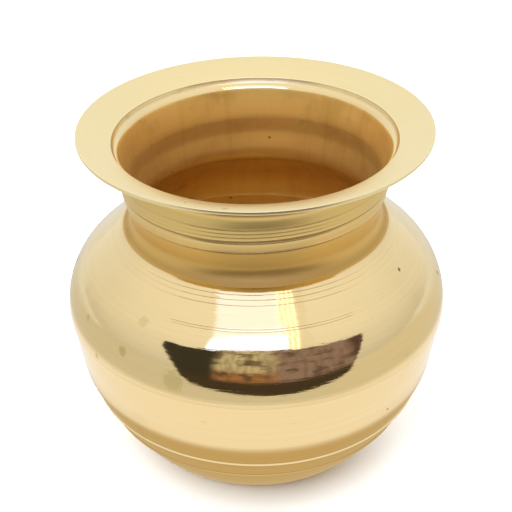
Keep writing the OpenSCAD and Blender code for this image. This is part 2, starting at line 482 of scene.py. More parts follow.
class Shade:
    """A value in a material: wraps a socket, and arithmetic on it adds Math nodes."""

    def __init__(self, bench: "Bench", socket: bpy.types.NodeSocket) -> None:
        """Holds the bench that makes nodes and the socket that gives the value."""
        self.bench = bench
        self.socket = socket

    def _math(self, operation: str, *values: "Shade | float") -> "Shade":
        """Adds one Math node over the values."""
        return self.bench.node("Math", {"operation": operation}, dict(enumerate(values)))

    def __add__(self, other: "Shade | float") -> "Shade":
        """Sum."""
        return self._math("ADD", self, other)

    __radd__ = __add__

    def __sub__(self, other: "Shade | float") -> "Shade":
        """Difference."""
        return self._math("SUBTRACT", self, other)

    def __rsub__(self, other: "Shade | float") -> "Shade":
        """Difference the other way round."""
        return self._math("SUBTRACT", other, self)

    def __mul__(self, other: "Shade | float") -> "Shade":
        """Product."""
        return self._math("MULTIPLY", self, other)

    __rmul__ = __mul__

    def __truediv__(self, other: "Shade | float") -> "Shade":
        """Quotient."""
        return self._math("DIVIDE", self, other)

    def at_least(self, other: "Shade | float") -> "Shade":
        """The larger of the two."""
        return self._math("MAXIMUM", self, other)

    def wave(self) -> "Shade":
        """Sine."""
        return self._math("SINE", self)

    def root(self) -> "Shade":
        """Square root."""
        return self._math("SQRT", self)

    def step(self, low: float, high: float) -> "Shade":
        """Rises smoothly from 0 to 1, or falls where low is the larger.

        Args:
            low: The value at which it is 0.
            high: The value at which it is 1.

        Returns:
            The new value.
        """
        flip = low > high
        a, b = (high, low) if flip else (low, high)
        settings = {"interpolation_type": "SMOOTHSTEP", "clamp": True}
        out = self.bench.node("MapRange", settings, {"Value": self, "From Min": a, "From Max": b})
        return 1 - out if flip else out

    def top(self, share: float, width: float) -> "Shade":
        """1 in the top share of a value that is spread evenly from 0 to 1, with a soft start."""
        return self.step(1 - share, 1 - share + width)


def set_stops(ramp: bpy.types.ColorRamp, stops: Sequence[tuple[float, float]]) -> None:
    """Sets a colour ramp's stops, each a position and a grey level, from its start to its end."""
    for at, _ in stops[1:-1]:
        ramp.elements.new(at)
    for element, (at, level) in zip(ramp.elements, stops):
        element.position, element.color = at, (level, level, level, 1.0)


class Bench:
    """Makes the nodes of one material, or of the surroundings."""

    def __init__(self, owner: bpy.types.Material | bpy.types.World) -> None:
        """Starts with an empty node tree.

        Args:
            owner: The material, or the surroundings, that the nodes belong to.
        """
        self.owner = owner
        owner.use_nodes = True
        self.tree = owner.node_tree
        self.tree.nodes.clear()

    def raw(self, kind: str, settings: dict[str, Any], inputs: dict[Any, Any]) -> bpy.types.Node:
        """Adds a node: settings first, then values or links on its sockets.

        Args:
            kind: Node type without its ShaderNode prefix.
            settings: Properties of the node, or "stops" for a colour ramp.
            inputs: Socket name or number to a value, a Shade, or a socket.

        Returns:
            The node.
        """
        node = self.tree.nodes.new("ShaderNode" + kind)
        for key, value in settings.items():
            if key == "stops":
                set_stops(node.color_ramp, value)
            else:
                setattr(node, key, value)
        for key, value in inputs.items():
            socket = node.inputs[key]
            if isinstance(value, Shade):
                self.tree.links.new(value.socket, socket)
            elif isinstance(value, bpy.types.NodeSocket):
                self.tree.links.new(value, socket)
            elif isinstance(value, tuple) and len(value) == 3 and socket.type == "RGBA":
                socket.default_value = (*value, 1.0)
            else:
                socket.default_value = value
        return node

    def node(self, kind: str, settings: dict[str, Any], inputs: dict[Any, Any], output: Any = 0) -> Shade:
        """Adds a node and returns one of its outputs as a Shade."""
        return Shade(self, self.raw(kind, settings, inputs).outputs[output])

    def mix(
        self, factor: "Shade | float", a: "Shade | Colour", b: "Shade | Colour", blend: str = "MIX"
    ) -> Shade:
        """Mixes two colours with a factor from 0 to 1."""
        settings = {"data_type": "RGBA", "blend_type": blend, "clamp_factor": True}
        return self.node("Mix", settings, {0: factor, 6: a, 7: b}, output=2)

    def vector(self, x: "Shade | float", y: "Shade | float", z: "Shade | float") -> Shade:
        """A vector from three values."""
        return self.node("CombineXYZ", {}, {0: x, 1: y, 2: z})

    def parts(self, vector: "Shade | bpy.types.NodeSocket") -> tuple[Shade, Shade, Shade]:
        """The three parts of a vector or a colour."""
        x, y, z = (Shade(self, out) for out in self.raw("SeparateXYZ", {}, {0: vector}).outputs)
        return x, y, z

    def noise(
        self, where: Shade, scale: float, detail: float = 2.0, rough: float = 0.5, twist: float = 0.0
    ) -> Shade:
        """Soft noise from 0 to 1."""
        inputs = {"Vector": where, "Scale": scale, "Detail": detail, "Roughness": rough, "Distortion": twist}
        return self.node("TexNoise", {"noise_dimensions": "3D"}, inputs, output="Fac")

    def place(self) -> Shade:
        """The place on the piece in metres."""
        return self.node("TexCoord", {}, {}, output="Object")

    def attribute(self, name: str) -> Shade:
        """A value stored on the piece's points."""
        return self.node("Attribute", {"attribute_name": name}, {}, output="Fac")

    def finish(self, shader: bpy.types.Node) -> bpy.types.Material:
        """Joins a shader to the material's output and returns the material."""
        self.raw("OutputMaterial", {}, {"Surface": shader.outputs[0]})
        return self.owner


# ---------------------------------------------------------------------------------------------
# Finishes


@dataclass(frozen=True)
class Mark:
    """A single stain or knock on the pot: where it is, in millimetres and degrees, and its colour."""

    turn: float
    radius: float
    height: float
    half: float
    colour: Colour
    strength: float

    def place(self) -> Colour:
        """The mark's middle in metres."""
        a = math.radians(self.turn)
        return (self.radius * math.cos(a) * MM, self.radius * math.sin(a) * MM, self.height * MM)


STAIN, KNOCK = (0.52, 0.43, 0.11), (0.07, 0.06, 0.05)
GRIME, RUBBED, SPOT, NICK = (0.26, 0.15, 0.05), (0.97, 0.84, 0.52), (0.42, 0.33, 0.10), (0.05, 0.05, 0.04)
SHOULDER_MARKS = (
    Mark(-131.4, 52.7, 53.0, 1.7, STAIN, 0.55),
    Mark(-149.9, 52.1, 54.5, 1.1, STAIN, 0.40),
    Mark(-127.5, 47.8, 61.2, 1.9, STAIN, 0.30),
    Mark(-113.5, 53.4, 50.4, 3.6, STAIN, 0.40),
    Mark(180.0, 51.2, 56.5, 1.3, KNOCK, 0.75),
    Mark(-28.8, 43.3, 65.3, 0.8, KNOCK, 0.80),
    Mark(-8.9, 51.4, 56.1, 0.9, KNOCK, 0.75),
)


@dataclass(frozen=True)
class BrassFinish:
    """One finish of the brass: its tone, how it was turned, and how it has aged.

    Attributes:
        tone: Colour of the clean metal.
        aged: Colour where it has dulled.
        ageing: How much of the surface has dulled, from 0 to 1.
        gloss_loss: Roughness of the clean metal.
        metal: 1 for bare metal, less under a thin skin of tarnish.
        ring_pitch: Distance between turning marks, in millimetres.
        ring_depth: Depth of the turning marks, in thousandths of a millimetre.
        ring_tint: How much the turning marks change the colour.
        spots: Amount of small dull spots.
        nicks: Amount of tiny dark nicks.
        streaks: Amount of upright streaks from water.
        cloud_size: Size of the dull patches, in millimetres.
        spot_cell: Size of the cells of which a few hold a spot, in millimetres.
        nick_cell: Size of the cells of which a few hold a nick, in millimetres.
        edge_shine: How much rubbed edges brighten.
        marks: Single stains and knocks.
    """

    name: str
    tone: Colour = (0.90, 0.70, 0.37)
    aged: Colour = (0.62, 0.43, 0.16)
    ageing: float = 0.2
    gloss_loss: float = 0.07
    metal: float = 1.0
    ring_pitch: float = 0.9
    ring_depth: float = 18.0
    ring_tint: float = 0.05
    spots: float = 0.3
    nicks: float = 0.3
    streaks: float = 0.0
    cloud_size: float = 22.0
    spot_cell: float = 7.0
    nick_cell: float = 3.4
    edge_shine: float = 0.55
    marks: tuple[Mark, ...] = ()

    def spots_and_nicks(self, b: Bench, place: Shade) -> tuple[Shade, Shade]:
        """Small dull spots and tiny dark nicks: the middles of a few cells of two cell patterns.

        Args:
            b: The bench.
            place: The place on the piece in metres.

        Returns:
            Masks of the spots and of the nicks.
        """
        cell, pit = (
            b.raw("TexVoronoi", {"feature": "F1"}, {"Vector": place, "Scale": 1 / (size * MM)})
            for size in (self.spot_cell, self.nick_cell)
        )
        ragged = Shade(b, cell.outputs["Distance"]) + b.noise(place, 1 / (1.2 * MM), 2.0) * 0.10
        spot = ragged.step(0.26, 0.12) * b.parts(cell.outputs["Color"])[0].top(0.16 * self.spots, 0.01)
        small = Shade(b, pit.outputs["Distance"]).step(0.13, 0.07)
        return spot, small * b.parts(pit.outputs["Color"])[1].top(0.05 * self.nicks, 0.004)

    def with_marks(self, b: Bench, place: Shade, colour: Shade) -> Shade:
        """Lays the single stains and knocks over a colour.

        Args:
            b: The bench.
            place: The place on the piece in metres.
            colour: The colour under them.

        Returns:
            The marked colour.
        """
        ragged = (b.noise(place, 1 / (0.9 * MM), 2.0) - 0.5) * 1.1
        for mark in self.marks:
            gap = b.node("VectorMath", {"operation": "DISTANCE"}, {0: place, 1: mark.place()}, output="Value")
            inside = (gap / (mark.half * MM) + ragged).step(1.0, 0.5)
            colour = b.mix(inside * mark.strength, colour, mark.colour)
        return colour

    def material(self) -> bpy.types.Material:
        """Builds the material.

        Turning marks are noise over the distance along the section, so they run level round the
        pot, and drift slowly with the angle. Dull patches, spots and nicks are noise and cells in
        the piece's own space. Grime and wear come from the piece's own values, and follow the
        grooves and the edges.

        Returns:
            The material.
        """
        b = Bench(bpy.data.materials.new(self.name))
        place = b.place()
        x, y, z = b.parts(place)
        radius = ((x * x + y * y).root()).at_least(1e-4)
        cos, sin = x / radius, y / radius
        run, grime, wear = (b.attribute(name) for name in ("run", "grime", "wear"))
        pitch = self.ring_pitch

        fine = b.noise(b.vector(run / pitch, cos * 0.7, sin * 0.7), 1.0, 3.0, 0.6)
        broad = b.noise(b.vector(run / (pitch * 4.3), cos * 0.5, sin * 0.5), 1.0, 2.0)
        chatter = b.noise(b.vector(run / (pitch * 0.6), cos * 13, sin * 13), 1.0, 2.0)
        scratch = b.noise(b.vector(run * 3.1, cos * 9, sin * 9), 1.0, 2.0).step(0.62, 0.75)
        clouds = b.noise(place, 1 / (self.cloud_size * MM), 4.0, 0.55, 0.4)
        drops = b.noise(b.vector(cos * 14, sin * 14, z * 22), 1.0, 3.0, 0.6)
        spot, nick = self.spots_and_nicks(b, place)

        dulled = clouds.step(0.72 - 0.45 * self.ageing, 0.95 - 0.35 * self.ageing)
        dull = dulled * (0.35 + 0.65 * self.ageing) + drops.step(0.45, 0.75) * self.streaks
        colour = b.mix(dull, self.tone, self.aged)
        colour = b.mix(grime * 0.5, colour, GRIME)
        colour = b.mix(wear * self.edge_shine, colour, RUBBED)
        colour = b.mix(spot * 0.55, colour, SPOT)
        colour = b.mix(nick * 0.85, colour, NICK)
        colour = self.with_marks(b, place, colour)
        ring_shade = 1 - (fine - 0.5) * self.ring_tint * 2 - scratch * self.ring_tint
        tint = b.node("CombineColor", {}, {0: ring_shade, 1: ring_shade, 2: ring_shade})
        colour = b.mix(1.0, colour, tint, "MULTIPLY")

        rough = self.gloss_loss + (broad - 0.5) * 0.06 + dull * 0.10 + grime * 0.22 + spot * 0.18 + nick * 0.3
        relief = (fine + broad * 1.7 + chatter * 0.6) * self.ring_depth
        relief = relief - scratch * 0.5 - spot * 1.2 - nick * 12.0
        bump = b.raw("Bump", {}, {"Strength": 1.0, "Distance": 1e-6, "Height": relief})
        inputs = {
            "Base Color": colour,
            "Metallic": self.metal,
            "Roughness": rough.at_least(0.03),
            "Normal": bump.outputs[0],
        }
        return b.finish(b.raw("BsdfPrincipled", {}, inputs))


class Finish(Enum):
    """The finishes used on the pot."""

    POLISHED = BrassFinish("polished_brass")
    MARKED = BrassFinish("polished_shoulder_brass", marks=SHOULDER_MARKS)
    SATIN_RIM = BrassFinish(
        "satin_rim_brass",
        tone=(0.95, 0.78, 0.42),
        gloss_loss=0.30,
        ring_pitch=0.5,
        ring_depth=3.0,
        ageing=0.08,
        ring_tint=0.04,
        spots=0.15,
        nicks=0.2,
    )
    TURNED_COLLAR = BrassFinish(
        "turned_collar_brass",
        tone=(0.81, 0.59, 0.23),
        gloss_loss=0.32,
        ageing=0.25,
        spots=0.2,
    )
    # Satin brass of the neck; its deeper golden tone is partly the metal and partly a painted second
    # reflection.
    SATIN_NECK_PAINTED_REFLECTION = BrassFinish(
        "satin_neck_brass_painted_reflection",
        tone=(0.82, 0.54, 0.17),
        aged=(0.60, 0.38, 0.10),
        gloss_loss=0.42,
        spots=0.2,
    )
    # The rim's lower face: its darker, deeper tone is painted shade; its dull patches are tarnish.
    SHADED_RIM_UNDERSIDE = BrassFinish(
        "rim_underside_painted_shade_brass",
        tone=(0.76, 0.52, 0.16),
        aged=(0.60, 0.39, 0.11),
        gloss_loss=0.34,
        ageing=0.3,
        spots=0.2,
    )
    DULL_INSIDE = BrassFinish(
        "dull_inside_brass",
        tone=(0.86, 0.58, 0.19),
        aged=(0.62, 0.36, 0.09),
        gloss_loss=0.40,
        metal=0.86,
        ring_pitch=1.6,
        ring_depth=10.0,
        ageing=0.5,
        spots=0.6,
        nicks=0.4,
        streaks=0.2,
        cloud_size=14.0,
        edge_shine=0.0,
    )
    FLUSH_FILLER = BrassFinish(
        "flush_brazing_alloy",
        tone=(0.86, 0.66, 0.33),
        gloss_loss=0.15,
        cloud_size=6.0,
    )
    FILLER = BrassFinish(
        "brazing_alloy",
        tone=(0.80, 0.61, 0.28),
        aged=(0.52, 0.36, 0.13),
        gloss_loss=0.32,
        ring_pitch=2.4,
        ring_depth=3.0,
        ageing=0.4,
        spots=0.5,
        cloud_size=4.0,
    )


# ---------------------------------------------------------------------------------------------
# Pieces


@dataclass
class TurnedPiece:
    """A piece of the pot that is one section turned about the upright axis."""

    shape: PotShape
    hand: HandWork
    node: str
    slot: str
    outside: Finish
    inside: Finish
    edge: float = 0.15
    pitch: float = 1.1
    closed: bool = True
    brace_reach: float = 0.04
    more: tuple[Finish, ...] = ()
    piece: bpy.types.Object | None = field(default=None, init=False)

    def section(self) -> Floats:
        """The outline, with the metal on the left of its direction. Each piece has its own."""
        raise NotImplementedError

    def mates(self) -> Floats:
        """Corners that lie flush against another piece, which stay sharp: those along the joints."""
        s = self.shape
        throat = [s.stub_r - s.wall, s.below(s.stub_depth)]
        seam = [s.seam_root, s.band_at(s.seam_groove, 0), polar(s.edge_c, s.edge_curve, s.seam_top_angle)]
        return np.array([throat, *seam])

    def faces_inwards(self, mid: Floats, normal: Floats) -> NDArray[np.bool_]:
        """Which sides of the section look into the pot.

        Args:
            mid: Middles of the sides; not used here.
            normal: Their outward directions.

        Returns:
            True for each side that looks towards the axis or is on the floor of the bowl.
        """
        return (normal[:, 0] < -0.05) & (normal[:, 1] > -0.85)

    def zones(self, mid: Floats, normal: Floats) -> NDArray[np.int32]:
        """Which finish each side of the section takes: 0 for the outside, 1 for the inside."""
        return self.faces_inwards(mid, normal).astype(np.int32)

    def build(self) -> bpy.types.Object:
        """Turns the section into a mesh.

        A point is (r(v) cos u, r(v) sin u, h(v)), with u all the way round and v along the section,
        before the maker's waves and lean are added. A section that starts and ends on the axis gets
        one point there and a fan of triangles.

        Returns:
            The new object.
        """
        outline = soften(self.section(), self.edge, self.closed, self.mates())
        outline = refine(brace(outline, self.mates(), self.brace_reach), self.pitch, self.closed)
        count = len(outline)
        turn = np.arange(AROUND) * 2 * np.pi / AROUND
        x, y, z = self.hand.apply(self.shape, outline[:, :1], outline[:, 1:], turn[None, :])
        grid = np.stack([x, y, z], axis=-1)

        row = np.arange(count if self.closed else count - 1)
        nxt = (row + 1) % count
        col = np.arange(AROUND)
        aside = (col + 1) % AROUND
        quads = np.stack(
            [
                row[:, None] * AROUND + col,
                row[:, None] * AROUND + aside,
                nxt[:, None] * AROUND + aside,
                nxt[:, None] * AROUND + col,
            ],
            axis=-1,
        )
        side = np.roll(outline, -1, axis=0) - outline if self.closed else np.diff(outline, axis=0)
        mid = outline[row] + side / 2
        normal = np.stack([side[:, 1], -side[:, 0]], axis=1) / np.linalg.norm(side, axis=1)[:, None]
        looks_in = np.repeat(self.zones(mid, normal), AROUND)
        faces = quads.reshape(-1, 4)

        points = grid.reshape(-1, 3)
        values = self.surface_values(outline)
        per_point = {key: np.repeat(value, AROUND) for key, value in values.items()}
        if not self.closed:
            points, faces, looks_in, per_point = self.close_poles(points, faces, looks_in, per_point, count)
        self.piece = self.to_object(points * MM, faces, looks_in, per_point)
        return self.piece

    def close_poles(
        self, points: Floats, faces: NDArray, looks_in: NDArray, per_point: dict[str, Floats], count: int
    ) -> tuple[Floats, NDArray, NDArray, dict[str, Floats]]:
        """Gathers the first and the last ring, which lie on the axis, into one point each.

        Args:
            points: Points ring by ring.
            faces: Quads between the rings.
            looks_in: One flag for each quad.
            per_point: Values for each point.
            count: Number of rings.

        Returns:
            The points, the faces with the repeated corners made equal, the flags and the values.
        """
        target = np.arange(count * AROUND)
        target[:AROUND] = 0
        target[-AROUND:] = target[-AROUND]
        used, compact = np.unique(target, return_inverse=True)
        return points[used], compact[faces], looks_in, {k: v[used] for k, v in per_point.items()}

    def surface_values(self, outline: Floats) -> dict[str, Floats]:
        """Works out what the finish needs along the section.

        Run is the distance along it. The turn of the section at each point, spread over a short
        distance by a bell-shaped average, is positive on edges and negative in hollows: edges get
        wear and hollows get grime.

        Args:
            outline: The section's points.

        Returns:
            Arrays run, wear and grime, one value for each point.
        """
        step = np.linalg.norm(np.diff(outline, axis=0), axis=1)
        run = np.concatenate([[0], np.cumsum(step)])
        total = run[-1] + (np.linalg.norm(outline[0] - outline[-1]) if self.closed else 0)
        ahead = np.roll(outline, -1, axis=0) - outline
        behind = outline - np.roll(outline, 1, axis=0)
        cross = behind[:, 0] * ahead[:, 1] - behind[:, 1] * ahead[:, 0]
        turned = np.arctan2(cross, (behind * ahead).sum(1))
        if not self.closed:
            turned[[0, -1]] = 0
        to_mate = np.linalg.norm(outline[:, None] - self.mates(), axis=2).min(axis=1)
        turned[to_mate < 2 * self.brace_reach] = 0
        gap = np.abs(run[:, None] - run[None, :])
        gap = np.minimum(gap, total - gap) if self.closed else gap
        bell = np.exp(-((gap / 0.35) ** 2))
        bend = bell @ turned
        return {
            "run": run,
            "wear": np.clip(bend / 0.9 - 0.25, 0, 1),
            "grime": np.clip(-bend / 0.9 - 0.10, 0, 1),
        }

    def to_object(
        self, points: Floats, faces: NDArray, looks_in: NDArray, per_point: dict[str, Floats]
    ) -> bpy.types.Object:
        """Writes the arrays into a mesh and makes its object.

        Args:
            points: Places in metres.
            faces: Four corners each; a corner that repeats the next makes a triangle.
            looks_in: Which faces take the inside finish.
            per_point: Values for each point, stored on the mesh.

        Returns:
            The object, at the origin, unturned and unscaled.
        """
        keep = faces != np.roll(faces, -1, axis=1)
        size = keep.sum(axis=1)
        mesh = bpy.data.meshes.new(self.node)
        mesh.vertices.add(len(points))
        mesh.vertices.foreach_set("co", points.ravel())
        mesh.loops.add(int(size.sum()))
        mesh.loops.foreach_set("vertex_index", faces[keep])
        mesh.polygons.add(len(faces))
        mesh.polygons.foreach_set("loop_start", np.cumsum(size) - size)
        mesh.polygons.foreach_set("material_index", looks_in.astype(np.int32))
        mesh.polygons.foreach_set("use_smooth", np.ones(len(faces), dtype=bool))
        mesh.update(calc_edges=True)
        mesh.validate()
        for key, value in per_point.items():
            layer = mesh.attributes.new(key, "FLOAT", "POINT")
            layer.data.foreach_set("value", value.astype(np.float32))
        thing = bpy.data.objects.new(self.node + "_turned", mesh)
        bpy.context.scene.collection.objects.link(thing)
        return thing

    def dress(self, materials: dict[Finish, bpy.types.Material]) -> None:
        """Puts the finishes on the piece, parents it to the body and hides its node.

        Args:
            materials: The material of each finish.
        """
        for finish in (self.outside, self.inside, *self.more):
            self.piece.data.materials.append(materials[finish])
        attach(self.piece, BODY)
        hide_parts(self.node)

    def report(self) -> None:
        """Logs the size of the finished piece."""
        faces, size = len(self.piece.data.polygons), (length / MM for length in self.piece.dimensions)
        log.info("%s: %d faces, %.1f x %.1f x %.1f mm", self.node, faces, *size)


@dataclass
class BaseBowl(TurnedPiece):
    """The lower bowl, from the centre of the base up to the seam and the lap inside it."""

    bead_depths: tuple[float, float] = (77.6, 84.6)
    bead_half: float = 0.8
    bead_rise: float = 0.34
    dish_r: float = 22.0
    dish_rise: float = 0.8
    lathe_rings: tuple[float, ...] = (3.0, 9.0, 15.5)
    ring_half: float = 0.45
    ring_depth: float = 0.18
    step_len: float = 3.0
    step_width: float = 7.0
    floor_from: float = 0.9
    floor_to: float = 8.0

    def underside(self) -> Floats:
        """The base from the axis out: a sunk middle with a few cut rings, then the flat it rests on."""
        r = np.linspace(0, self.dish_r, 54)
        cut = np.zeros_like(r)
        for ring in self.lathe_rings:
            cut += self.ring_depth * np.cos(np.pi / 2 * np.clip((r - ring) / self.ring_half, -1, 1)) ** 2
        middle = np.stack([r, self.dish_rise + cut], axis=1)
        rest = line((self.dish_r + self.dish_rise, 0), (self.shape.base_c[0], 0), 1.5)
        return chain(middle, rest)

    def floor_step(self) -> Floats:
        """The soft step of the floor inside: the height rises as (1 - cos pi t) / 2 towards the axis."""
        t = np.linspace(0, 1, 14)
        r = self.dish_r + self.dish_rise - self.step_width * t
        return np.stack([r, self.shape.wall + self.dish_rise * (1 - np.cos(np.pi * t)) / 2], axis=1)

    def section(self) -> Floats:
        """Out along the base, up the outside to the seam, round the lap, and down the inside."""
        s = self.shape
        beads = [angle_at_height(s.bowl_c, s.bowl_curve, s.below(d)) for d in self.bead_depths]
        ends = (-s.corner_slope, -s.base_slope)
        bowl = marked_arc(s.bowl_c, s.bowl_curve, *ends, beads, self.bead_half, self.bead_rise)
        outer = chain(
            arc(s.base_c, s.base_curve, -90, -s.base_slope, 1.2),
            bowl[::-1],
            arc(s.corner_c, s.corner_curve, -s.corner_slope, -s.band_slope),
            line(s.band_at(s.band_len, 0), s.band_at(s.seam_groove, 0), 1.1),
        )
        lap = chain(s.seam_root, s.lap_face(s.wall), s.lap_face(2 * s.wall)[::-1])
        inner = chain(
            s.band_at(self.step_len, s.wall),
            arc(s.corner_c, s.corner_curve - s.wall, -s.band_slope, -s.corner_slope, 1.2),
            arc(s.bowl_c, s.bowl_curve - s.wall, -s.corner_slope, -s.base_slope, 1.2),
            arc(s.base_c, s.base_curve - s.wall, -s.base_slope, -90, 1.2),
            self.floor_step(),
            np.array([[0.0, self.dish_rise + s.wall]]),
        )
        return chain(self.underside(), outer, lap, inner)

    def faces_inwards(self, mid: Floats, normal: Floats) -> NDArray[np.bool_]:
        """The inside of the bowl: its walls and its floor.

        Args:
            mid: Middles of the sides.
            normal: Their outward directions.

        Returns:
            True for sides that look towards the axis, or up from the floor.
        """
        walls = (normal[:, 0] < -0.05) & (normal[:, 1] > -0.3)
        floor = (normal[:, 1] > 0.7) & (mid[:, 1] < self.floor_to) & (mid[:, 1] > self.floor_from)
        return walls | floor


@dataclass
class ShoulderShell(TurnedPiece):
    """The upper half of the belly with its engraved lines, the cove, and the stub."""

    line_radii: tuple[float, ...] = (38.55, 39.6, 40.8, 45.45, 45.95)
    line_half: float = 0.13
    line_cut: float = 0.028
    neck_edge_r: float = 37.1
    cove_darkening: float = 0.7
    cove_darkening_half: float = 1.5
    cove_darkening_angle: float = 44.0

    def section(self) -> Floats:
        """Up the outside from the seam to the top of the stub, and down the inside."""
        s = self.shape
        marks = [angle_at_radius(s.upper_c, s.upper_curve, r) for r in self.line_radii]
        ends = (s.crest_angle, s.shoulder_slope)
        upper = marked_arc(s.upper_c, s.upper_curve, *ends, marks, self.line_half, -self.line_cut)
        top = s.below(s.stub_depth)
        bend = s.wall * math.tan(math.radians(s.neck_slope / 2))
        return chain(
            s.edge_face(0, s.seam_top_angle, 0),
            arc(s.shoulder_c, s.shoulder_curve, 0, s.shoulder_slope),
            upper[::-1],
            arc(s.crest_c, s.crest_curve, s.crest_angle, s.crest_slope, 0.4),
            arc(s.cove_c, s.cove_curve, 180 + s.crest_slope, 180 - s.neck_slope, 0.3),
            line(polar(s.cove_c, s.cove_curve, 180 - s.neck_slope), s.neck_top),
            line(s.neck_top, (s.stub_r, top)),
            line((s.stub_r - s.wall, top), (s.stub_r - s.wall, s.neck_top[1] + bend), 1.2),
            arc(s.cove_c, s.cove_curve + s.wall, 180 - s.neck_slope, 180 + s.crest_slope),
            arc(s.crest_c, s.crest_curve - s.wall, s.crest_slope, s.crest_angle),
            arc(s.upper_c, s.upper_curve - s.wall, s.crest_angle, s.shoulder_slope, 1.2),
            arc(s.shoulder_c, s.shoulder_curve - s.wall, s.shoulder_slope, s.lap_angle, 1.2),
            s.lap_face(s.wall)[::-1],
            s.seam_root,
        )

    def surface_values(self, outline: Floats) -> dict[str, Floats]:
        """As for any piece, with the foot of the cove made darker.

        The grime value there is at least cove_darkening * exp(-(d / cove_darkening_half)^2), with d the
        distance from the foot of the cove.

        Args:
            outline: The section's points.

        Returns:
            Arrays run, wear and grime, one value for each point.
        """
        s = self.shape
        values = super().surface_values(outline)
        # Darkens the foot of the cove through the grime values.
        foot = polar(s.cove_c, s.cove_curve, 180 + self.cove_darkening_angle)
        away = np.linalg.norm(outline - foot, axis=1) / self.cove_darkening_half
        values["grime"] = np.maximum(values["grime"], self.cove_darkening * np.exp(-(away**2)))
        return values

    def zones(self, mid: Floats, normal: Floats) -> NDArray[np.int32]:
        """As for any piece, with the outside of the neck down to the crest as a third finish, whose deeper
        tone is partly painted reflection.

        Args:
            mid: Middles of the sides.
            normal: Their outward directions.

        Returns:
            0 for the outside, 1 for the inside and 2 for the neck.
        """
        inside = self.faces_inwards(mid, normal)
        neck = ~inside & (mid[:, 0] < self.neck_edge_r) & (mid[:, 1] > self.shape.crest_c[1])
        return np.where(inside, 1, np.where(neck, 2, 0)).astype(np.int32)


@dataclass
class NeckCollar(TurnedPiece):
    """The turned collar with its ribs and grooves, the flange under the rim, and the funnel."""

    band_r: float = 37.2
    band_lean: float = 0.06
    rib_r: float = 36.8
    low_r: float = 36.1
    groove_depth: float = 15.1
    groove_half: float = 0.5
    groove_cut: float = 0.24
    top_line: float = 11.3
    fine_gap: float = 1.1
    fine_half: float = 0.18
    fine_cut: float = 0.05
    hollow_curve: float = 5.0
    roll_reach: float = 7.0
    dull_width: float = 1.9
    dull_depth: float = 5.7
    throat_blend: float = 0.95

    def groove(self, depth: float, half: float, cut: float) -> Floats:
        """A round groove in the upright band: its depth goes as cos^2 across it.

        Args:
            depth: How far its middle lies below the lip.
            half: Half its width.
            cut: Its depth into the metal.

        Returns:
            The points, from its lower to its upper edge.
        """
        t = np.linspace(-1, 1, 7)
        z = self.shape.below(depth) + t * half
        return np.stack([self.band_at(depth) - cut * np.cos(np.pi / 2 * t) ** 2, z], axis=1)

    def band_at(self, depth: float) -> float:
        """Radius of the band, which draws in a little on its way down."""
        return self.band_r - self.band_lean * (depth - self.top_line)

    def section(self) -> Floats:
        """Up the outside over ribs and grooves, out along the flange, back, and down the funnel."""
        s = self.shape
        flange = s.rim_curve - 2 * s.wall
        x = self.band_r + self.hollow_curve
        c = np.array([x, s.rim_c[1] + math.sqrt((flange - self.hollow_curve) ** 2 - (x - s.rim_c[0]) ** 2)])
        reach = math.degrees(math.atan2(*(c - s.rim_c)[::-1]))
        groove_low, groove_top = s.below(self.groove_depth + self.groove_half), s.below(self.groove_depth)
        ribs = np.array(
            [
                [s.stub_r, s.below(s.stub_depth)],
                [s.stub_r, s.below(s.collar_depth)],
                [self.low_r, s.below(s.collar_depth)],
                [self.rib_r, groove_low],
                [self.rib_r - self.groove_cut, groove_top - 0.1],
                [self.rib_r - self.groove_cut, groove_top + 0.1],
                [self.band_at(self.groove_depth), s.below(self.groove_depth - self.groove_half)],
            ]
        )
        fine = [self.groove(self.top_line + i * self.fine_gap, self.fine_half, self.fine_cut) for i in (2, 1)]
        under = s.rim_curve - s.wall
        roll_a = s.rim_angle(s.wall, s.rim_inner_r - s.roll_flat)
        roll_c = polar(polar(s.rim_c, under, roll_a), s.roll_curve, roll_a + 180)
        throat = np.array([s.stub_r - s.wall, s.below(s.funnel_depth)])
        gap = roll_c - throat
        lean = math.atan2(gap[1], gap[0]) + math.asin(s.roll_curve / np.linalg.norm(gap))
        roll_end = math.degrees(lean) + 90
        mate = np.array([throat[0], s.below(s.stub_depth)])
        funnel_top = polar(roll_c, s.roll_curve, roll_end)
        t = np.linspace(0, 1, 12)[:, None]
        start, end = throat + (funnel_top - throat) * self.throat_blend, mate
        blend = (1 - t) ** 2 * start + 2 * t * (1 - t) * throat + t**2 * end
        return chain(
            ribs,
            *fine,
            self.groove(self.top_line, self.groove_half / 2, self.groove_cut / 2),
            arc(c, self.hollow_curve, 180, reach, 0.5),
            arc(s.rim_c, flange, reach, s.rim_angle(2 * s.wall, s.flange_r)),
            arc(s.rim_c, under, s.rim_angle(s.wall, s.flange_r), roll_a),
            arc(roll_c, s.roll_curve, roll_a, roll_end, 0.3),
            line(funnel_top, start),
            blend,
            mate,
        )

    def faces_inwards(self, mid: Floats, normal: Floats) -> NDArray[np.bool_]:
        """The funnel below the polished roll.

        Args:
            mid: Middles of the sides.
            normal: Their outward directions.

        Returns:
            True for the funnel's sides.
        """
        s = self.shape
        low = mid[:, 1] < s.below(self.dull_depth)
        return low & (mid[:, 0] < s.rim_inner_r - self.dull_width) & (normal[:, 0] < -0.2)

    def zones(self, mid: Floats, normal: Floats) -> NDArray[np.int32]:
        """As for any piece, with the roll at the mouth as a third finish.

        Args:
            mid: Middles of the sides.
            normal: Their outward directions.

        Returns:
            0 for the outside, 1 for the funnel and 2 for the roll.
        """
        inside = self.faces_inwards(mid, normal)
        high = mid[:, 1] > self.shape.below(self.roll_reach)
        roll = ~inside & high & (mid[:, 0] < self.shape.rim_inner_r)
        return np.where(inside, 1, np.where(roll, 2, 0)).astype(np.int32)


